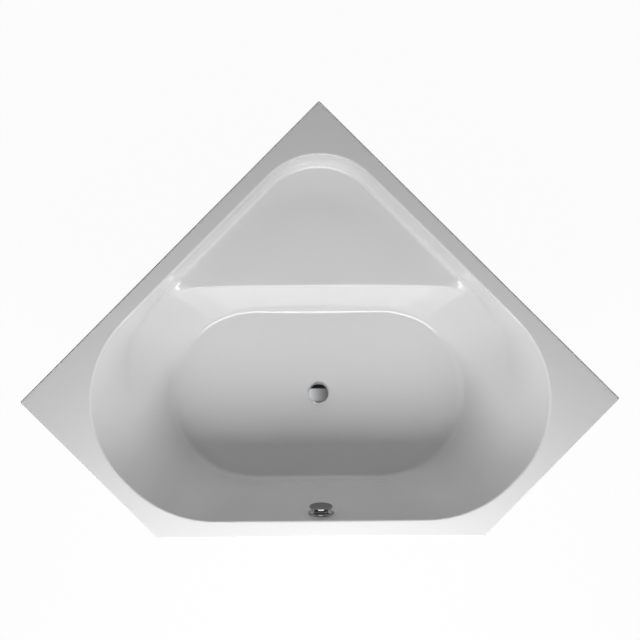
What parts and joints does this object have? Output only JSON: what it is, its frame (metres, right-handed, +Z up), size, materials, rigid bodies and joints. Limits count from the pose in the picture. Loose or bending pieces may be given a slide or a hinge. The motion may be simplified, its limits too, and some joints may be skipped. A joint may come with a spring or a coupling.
{
  "type": "pentagonal bathtub",
  "caption": "Five-sided corner bathtub with an oval well, a corner seat shelf, a pop-up waste, a rotary overflow control and levelling feet.",
  "frame": {"origin": "on the room's floor, below the middle of the outline's bounding box", "axes": "+Z up; +Y towards the wall corner with the seat shelf; -Y is the straight front edge with the overflow; +X to the right seen from the front"},
  "size_m": [1.9758, 1.4404, 0.59],
  "materials": {
    "acrylic": "glossy sanitary acrylic, moulded in one sheet, glass-fibre backed underneath",
    "board": "raw chipboard",
    "galvanised": "galvanised sheet steel",
    "zinc_screws": "zinc-plated steel",
    "pad_plastic": "black moulded plastic",
    "rubber": "black rubber",
    "chrome": "polished chrome plate",
    "white_plastic": "white moulded polypropylene",
    "grey_plastic": "grey ribbed polypropylene",
    "black_plastic": "black cable sheath",
    "brass": "turned brass"
  },
  "bodies": {
    "tub": {"tub_shell": "acrylic", "base_board": "board", "seat_board": "board", "rail_left": "galvanised", "rail_right": "galvanised", "rail_screws": "zinc_screws", "seat_post": "galvanised", "seat_post_screws": "zinc_screws", "foot_nuts": "zinc_screws", "foot_locknuts": "zinc_screws", "waste_flange": "chrome", "waste_seal_upper": "rubber", "waste_seal_lower": "rubber", "waste_body": "white_plastic", "lever_cover": "white_plastic", "overflow_ring": "chrome", "overflow_screws": "zinc_screws", "overflow_gasket": "rubber", "overflow_elbow": "white_plastic", "bowden_cable": "black_plastic", "overflow_hose": "grey_plastic", "hose_nut_upper": "white_plastic", "hose_nut_lower": "white_plastic", "trap_nut": "white_plastic", "trap_washer": "rubber", "rim_batten_side_right": "board", "rim_batten_back_right": "board", "rim_batten_back_left": "board", "rim_batten_side_left": "board", "rim_batten_front": "board"},
    "knob": {"overflow_knob": "chrome", "knob_shaft": "brass"},
    "plug": {"plug_cap": "chrome", "plug_stem": "brass", "plug_seal": "rubber"},
    "lever": {"lift_lever": "brass"},
    "trap": {"trap_body": "white_plastic"},
    "foot_front_left": {"foot_spindle_front_left": "zinc_screws", "foot_pad_front_left": "pad_plastic"},
    "foot_front_right": {"foot_spindle_front_right": "zinc_screws", "foot_pad_front_right": "pad_plastic"},
    "foot_back_left": {"foot_spindle_back_left": "zinc_screws", "foot_pad_back_left": "pad_plastic"},
    "foot_back_right": {"foot_spindle_back_right": "zinc_screws", "foot_pad_back_right": "pad_plastic"},
    "foot_seat": {"foot_spindle_seat": "zinc_screws", "foot_pad_seat": "pad_plastic"}
  },
  "joints": [
    {"name": "foot_front_left_height", "type": "slide", "parent": "tub", "child": "foot_front_left", "axis": [0, 0, 1], "range_m": [-0.04, 0.02]},
    {"name": "foot_front_right_height", "type": "slide", "parent": "tub", "child": "foot_front_right", "axis": [0, 0, 1], "range_m": [-0.04, 0.02]},
    {"name": "foot_back_left_height", "type": "slide", "parent": "tub", "child": "foot_back_left", "axis": [0, 0, 1], "range_m": [-0.04, 0.02]},
    {"name": "foot_back_right_height", "type": "slide", "parent": "tub", "child": "foot_back_right", "axis": [0, 0, 1], "range_m": [-0.04, 0.02]},
    {"name": "foot_seat_height", "type": "slide", "parent": "tub", "child": "foot_seat", "axis": [0, 0, 1], "range_m": [-0.04, 0.02]},
    {"name": "knob_turn", "type": "hinge", "parent": "tub", "child": "knob", "pos_m": [0, -0.64659, 0.515], "axis": [0, 0.9763, 0.2164], "range_deg": [0, 90]},
    {"name": "plug_lift", "type": "slide", "parent": "tub", "child": "plug", "axis": [0, 0, 1], "range_m": [0, 0.01]},
    {"name": "lever_tilt", "type": "hinge", "parent": "tub", "child": "lever", "pos_m": [0, -0.23866, 0.097], "axis": [1, 0, 0], "range_deg": [-25, 0]},
    {"name": "trap_swivel", "type": "hinge", "parent": "tub", "child": "trap", "pos_m": [0, -0.26066, 0.06], "axis": [0, 0, 1], "range_deg": [0, 120]}
  ],
  "couplings": [
    {"joint": "plug_lift", "follows": "knob_turn", "m_per_rad": 0.006366},
    {"joint": "lever_tilt", "follows": "knob_turn", "ratio": -0.2777}
  ]
}
